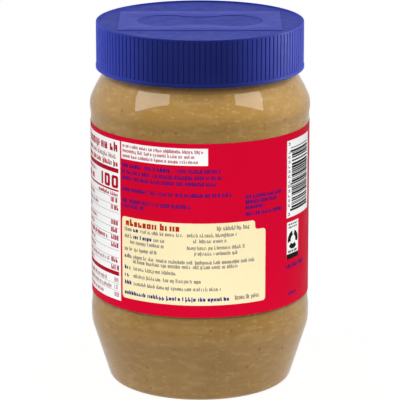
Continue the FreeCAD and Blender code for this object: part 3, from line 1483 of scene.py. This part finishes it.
@dataclass
class Lid:
    """Blue screw lid: ribbed skirt over a bead, and a low rim round a top with a raised panel."""

    bead_depth: float = 0.25
    bead_height: float = 1.6
    skirt_wall: float = 1.25
    foot_rounding: float = 0.3
    edge_rounding: float = 0.35
    rim_height: float = 0.7
    rim_width: float = 1.1
    rim_foot: float = 0.3
    ribs: int = 124
    columns: int = 8
    groove_depth: float = 0.35
    groove_top: float = 0.7
    groove_run: float = 0.25
    crown: float = 0.03
    panel_width: float = 72.0
    panel_depth: float = 43.0
    panel_height: float = 0.25
    panel_corner: float = 0.8
    panel_edge: float = 0.08
    top_inside_rounding: float = 0.8
    bead_rounding: float = 0.08
    groove_slack: float = 0.05
    peanut_length: float = 56.0
    peanut_lobe: float = 13.0
    peanut_waist: float = 18.0
    radius: float = field(init=False)
    low: float = field(init=False)
    high: float = field(init=False)
    seat: float = field(init=False)

    def __post_init__(self) -> None:
        """Take the lid's place from the frame."""
        low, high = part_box("lid")
        self.radius = high.x / MM - self.bead_depth
        self.low = low.z / MM
        self.high = high.z / MM
        self.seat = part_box("jar")[1].z / MM

    @property
    def face(self) -> float:
        """Height of the flat top inside the rim."""
        return self.high - self.rim_height

    def build_cap(self) -> bmesh.types.BMesh:
        """Skirt, bead, rim and top in one turned shell, with its grooves pressed in.

        Returns:
            The mesh.
        """
        bead = self.radius + self.bead_depth
        bead_top = self.low + self.bead_height
        rim = self.radius - self.rim_width
        inside = self.radius - self.skirt_wall
        groove_high = self.high - self.groove_top
        corners = (
            Corner(0.0, self.seat),
            Corner(inside, self.seat, self.top_inside_rounding),
            Corner(inside, self.low, self.foot_rounding),
            Corner(bead, self.low, self.foot_rounding),
            Corner(bead, bead_top - self.bead_depth, self.bead_rounding),
            Corner(self.radius, bead_top),
            Corner(self.radius, bead_top + self.groove_run),
            Corner(self.radius, groove_high - self.groove_run),
            Corner(self.radius, groove_high),
            Corner(self.radius, self.high, self.edge_rounding),
            Corner(rim, self.high, self.edge_rounding),
            Corner(rim, self.face, self.rim_foot),
            Corner(0.0, self.face),
        )
        bm = Outline(corners, fineness=15.0).turned(self.ribs)
        rings = [edge for edge in bm.edges if self._rings(edge)]
        bmesh.ops.subdivide_edges(bm, edges=rings, cuts=self.columns - 1, use_grid_fill=True)
        self._press_grooves(bm, bead_top, groove_high)
        bmesh.ops.recalc_face_normals(bm, faces=bm.faces)
        return bm

    @staticmethod
    def _rings(edge: bmesh.types.BMEdge) -> bool:
        """True for an edge that runs round the axis.

        Args:
            edge: the edge.

        Returns:
            Whether both its ends have one height and one radius.
        """
        first, second = edge.verts
        start, end = first.co.xy.length, second.co.xy.length
        level = abs(first.co.z - second.co.z) < SAME
        return level and start > MERGE and abs(start - end) < SAME

    def _press_grooves(self, bm: bmesh.types.BMesh, low: float, high: float) -> None:
        """Sink the skirt between the ribs and crown each rib a little.

        Args:
            bm: the turned shell.
            low: height of the grooves' foot.
            high: height of the grooves' head.
        """
        pitch = tau / self.ribs
        half = self.columns / 2.0
        for vert in bm.verts:
            off_middle = atan2(vert.co.y, vert.co.x) % pitch - pitch / 2.0
            vert.co.xy *= cos(off_middle) / cos(pitch / 2.0)
            radius = hypot(vert.co.x, vert.co.y)
            height = vert.co.z / MM
            on_skirt = radius >= (self.radius - self.groove_slack) * MM
            if not on_skirt or not low + self.groove_slack < height < high - self.groove_slack:
                continue
            column = round((atan2(vert.co.y, vert.co.x) % pitch) / pitch * self.columns) % self.columns
            if column == 0:
                shift = -self.groove_depth
            else:
                shift = self.crown * (1.0 - (abs(column - half) / half) ** 2)
            vert.co.xy *= (radius + shift * MM) / radius

    def build_panel(self) -> bmesh.types.BMesh:
        """Low rectangular panel on the top, with a peanut left out of its middle.

        Returns:
            The mesh.
        """
        bm = bmesh.new()
        matrix = Matrix.Diagonal((self.panel_width, self.panel_depth, 1.0, 1.0))
        bmesh.ops.create_grid(bm, x_segments=1, y_segments=1, size=0.5, matrix=matrix)
        round_off(bm, bm.verts[:], self.panel_corner, 5)
        bmesh.ops.delete(bm, geom=bm.faces[:], context="FACES_ONLY")
        loop = peanut_loop(self.peanut_length, self.peanut_lobe, self.peanut_waist, 5.0)
        verts = [bm.verts.new((x, y, 0.0)) for x, y in loop]
        for start, end in zip(verts, verts[1:] + verts[:1]):
            bm.edges.new((start, end))
        bmesh.ops.triangle_fill(bm, edges=bm.edges[:], use_beauty=True, normal=(0.0, 0.0, 1.0))
        raise_faces(bm, self.panel_height)
        bmesh.ops.recalc_face_normals(bm, faces=bm.faces)
        rim = [
            edge
            for edge in bm.edges
            if len(edge.link_faces) == 2
            and min(v.co.z for v in edge.verts) > self.panel_height / 2.0
            and edge.calc_face_angle() > 1.0
        ]
        round_off(bm, rim, self.panel_edge, 2, "EDGES")
        bmesh.ops.translate(bm, verts=bm.verts, vec=(0.0, 0.0, self.face))
        bmesh.ops.scale(bm, verts=bm.verts, vec=(MM, MM, MM))
        return bm

    def dress(self, finishes: Finishes) -> None:
        """Make the lid's pieces.

        Args:
            finishes: the materials.
        """
        make_piece(self.build_cap(), "lid_cap", finishes.lid, "lid", 32.0)
        make_piece(self.build_panel(), "lid_panel", finishes.panel)


# ---------------------------------------------------------------- studio


@dataclass(frozen=True)
class Softbox:
    """A rectangular lamp that faces the jar."""

    name: str
    azimuth: float
    elevation: float
    distance: float
    width: float
    height: float
    level: float
    only: tuple[str, ...]
    glossy: bool = False
    roll: float = 0.0
    aim: float = 0.09

    def place(self) -> bpy.types.Object:
        """Hang the lamp.

        Returns:
            The lamp's object.
        """
        data = bpy.data.lights.new(self.name, "AREA")
        data.shape = "RECTANGLE"
        data.size = self.width
        data.size_y = self.height
        data.energy = self.level * (pi * self.distance) ** 2
        lamp = bpy.data.objects.new(self.name, data)
        turn, rise = radians(self.azimuth), radians(self.elevation)
        away = Vector((sin(turn) * cos(rise), -cos(turn) * cos(rise), sin(rise)))
        lamp.location = away * self.distance + Vector((0.0, 0.0, self.aim))
        rolled = away.to_track_quat("Z", "Y").to_matrix() @ Matrix.Rotation(radians(self.roll), 3, "Z")
        lamp.rotation_euler = rolled.to_euler()
        lamp.visible_glossy = self.glossy
        lamp.visible_camera = False
        bpy.context.scene.collection.objects.link(lamp)
        chosen = bpy.data.collections.new(self.name + "_lights")
        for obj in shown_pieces():
            if obj.name.startswith(self.only):
                chosen.objects.link(obj)
        lamp.light_linking.receiver_collection = chosen
        return lamp


@dataclass
class Studio:
    """Camera, pale floor, surroundings and lamps."""

    elevation: float = 14.85
    distance: float = 1.2701
    aim: float = 0.08228
    lens: float = 252.54
    floor_radius: float = 1.6
    bright: float = 0.68
    dark: float = 0.096
    floor_near: float = 0.60
    floor_side: float = 0.50
    floor_far: float = 0.10
    ambient: float = 0.224
    floor_near_radius: float = 0.125
    floor_far_radius: float = 0.17
    floor_seen: float = 0.955
    edge_from: float = 62.0
    edge_to: float = 78.0
    turn: float = 4.0
    fade_from: float = 0.62
    fade_to: float = 0.85

    def place_camera(self) -> None:
        """Put the camera at the object's usual viewing angle."""
        data = bpy.data.cameras.new("camera")
        data.lens = self.lens
        data.sensor_width = 36.0
        data.clip_start = 0.05
        camera = bpy.data.objects.new("camera", data)
        rise = radians(self.elevation)
        back = Vector((0.0, -cos(rise), sin(rise)))
        camera.location = back * self.distance + Vector((0.0, 0.0, self.aim))
        camera.rotation_euler = back.to_track_quat("Z", "Y").to_euler()
        bpy.context.scene.collection.objects.link(camera)
        bpy.context.scene.camera = camera

    def lay_floor(self) -> None:
        """Lay a pale floor that is white to the eye and keeps the jar's soft shadow."""
        bm = bmesh.new()
        bmesh.ops.create_circle(bm, cap_ends=True, segments=96, radius=self.floor_radius)
        mesh = bpy.data.meshes.new("floor")
        bm.to_mesh(mesh)
        bm.free()
        floor = bpy.data.objects.new("floor", mesh)
        bpy.context.scene.collection.objects.link(floor)
        material, sheet, place = new_material("pale_floor")
        length = sheet.add("VectorMath", operation="LENGTH")
        sheet.put(place, length.inputs[0])
        away = length.outputs["Value"]
        radii = self.floor_near_radius, self.floor_far_radius
        spread = sheet.ramp(away, *radii, self.floor_near, self.floor_far)
        parts = sheet.feed(sheet.add("SeparateXYZ"), Vector=place)
        ahead = sheet.math("MULTIPLY", parts.outputs[1], -1.0)
        front = sheet.math("DIVIDE", ahead, sheet.math("MAXIMUM", away, TINY))
        side = sheet.ramp(front, *self.sector_edges(), self.floor_side, 0.0)
        rays = sheet.add("LightPath")
        seen = rays.outputs["Is Camera Ray"]
        side = sheet.math("MULTIPLY", side, rays.outputs["Is Glossy Ray"])
        spread = sheet.math("MAXIMUM", spread, side)
        colour = sheet.blend(seen, (0.6, 0.6, 0.6), (0.2, 0.2, 0.2))
        matt = sheet.feed(sheet.add("BsdfDiffuse"), Color=colour)
        hidden = sheet.math("MULTIPLY", sheet.math("SUBTRACT", 1.0, seen), spread)
        strength = sheet.math("ADD", sheet.math("MULTIPLY", seen, self.floor_seen), hidden)
        glow = sheet.feed(sheet.add("Emission"), Strength=strength)
        both = sheet.add("AddShader")
        sheet.put(matt.outputs[0], both.inputs[0])
        sheet.put(glow.outputs[0], both.inputs[1])
        close_material(sheet, both.outputs[0])
        mesh.materials.append(material)
        floor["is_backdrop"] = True

    def sector_edges(self) -> tuple[float, float]:
        """Cosines of the dark front sector's outer and inner edge."""
        return cos(radians(self.edge_to)), cos(radians(self.edge_from))

    def surround(self) -> None:
        """White surroundings, with the dark side of the studio in front of the jar."""
        world = bpy.data.worlds.new("studio")
        bpy.context.scene.world = world
        world.use_nodes = True
        sheet = NodeSheet(world.node_tree)
        parts = sheet.add("SeparateXYZ")
        sheet.feed(parts, Vector=sheet.add("TexCoord").outputs["Generated"])
        x, y, z = parts.outputs
        squares = [sheet.math("MULTIPLY", part, part) for part in (x, y)]
        flat = sheet.math("SQRT", sheet.math("ADD", *squares))
        ahead = sheet.math("MULTIPLY", y, -cos(radians(self.turn)))
        ahead = sheet.math("ADD", ahead, sheet.math("MULTIPLY", x, sin(radians(self.turn))))
        front = sheet.math("DIVIDE", ahead, sheet.math("MAXIMUM", flat, TINY))
        sector = sheet.ramp(front, *self.sector_edges(), 0.0, 1.0)
        below = sheet.ramp(z, self.fade_from, self.fade_to, 1.0, 0.0)
        shade = sheet.math("MULTIPLY", sector, below)
        mirrored = sheet.ramp(shade, 0.0, 1.0, self.bright, self.dark)
        rays = sheet.add("LightPath")
        seen = sheet.math("MAXIMUM", rays.outputs["Is Camera Ray"], rays.outputs["Is Transmission Ray"])
        glossy = sheet.math("MULTIPLY", rays.outputs["Is Glossy Ray"], sheet.math("SUBTRACT", 1.0, seen))
        rest = sheet.math("SUBTRACT", sheet.math("SUBTRACT", 1.0, seen), glossy)
        strength = sheet.math("ADD", seen, sheet.math("MULTIPLY", glossy, mirrored))
        strength = sheet.math("ADD", strength, sheet.math("MULTIPLY", rest, self.ambient))
        background = sheet.feed(sheet.add("Background"), Color=WHITE, Strength=strength)
        sheet.feed(sheet.add("OutputWorld"), Surface=background.outputs[0])

    def hang_lamps(self) -> None:
        """Hang the lamps: two softboxes, a fill for the jar's body and edge lamps for the lid."""
        jar = ("jar", "peanut")
        label = ("label",)
        lid = ("lid",)
        lamps = (
            Softbox("softbox_left", -64.5, 42.5, 1.2, 0.72, 0.40, 0.26, jar, True, 34.0),
            Softbox("softbox_right", 66.0, 42.5, 1.2, 0.58, 0.40, 0.21, jar, True, -34.0),
            Softbox("jar_fill", 0.0, 40.0, 0.50, 0.4, 0.2, 0.46, jar),
            Softbox("jar_edge_left", -95.0, 33.0, 0.5, 0.3, 0.3, 0.44, jar),
            Softbox("jar_edge_right", 92.0, 33.0, 0.5, 0.3, 0.3, 0.72, jar),
            Softbox("label_fill", 0.0, 5.0, 1.5, 0.6, 0.4, 0.47, label),
            Softbox("label_left", -70.0, 5.0, 1.5, 0.6, 0.4, 0.48, label),
            Softbox("label_right", 62.0, 5.0, 1.5, 0.6, 0.4, 0.48, label),
            Softbox("lid_edge_left", -114.0, 5.0, 1.2, 0.3, 0.4, 1.30, lid),
            Softbox("lid_edge_right", 104.0, 5.0, 1.2, 0.3, 0.4, 1.30, lid, True),
            Softbox("lid_top", 0.0, 88.0, 1.2, 0.5, 0.5, 0.40, lid),
            Softbox("lid_softbox", -61.0, 30.0, 1.2, 0.6, 0.5, 0.10, lid, True),
        )
        for lamp in lamps:
            lamp.place()

    def build(self) -> None:
        """Set the whole studio up."""
        bpy.context.scene.view_settings.view_transform = "Standard"
        self.place_camera()
        self.lay_floor()
        self.surround()
        self.hang_lamps()


def main() -> None:
    """Build the jar, its contents, the label, the lid and the studio."""
    logging.basicConfig(level=logging.INFO, format="%(name)s %(message)s")
    finishes = Finishes()
    Jar().dress(finishes)
    Label().dress(finishes)
    Lid().dress(finishes)
    Studio().build()


if __name__ == "__main__":
    main()
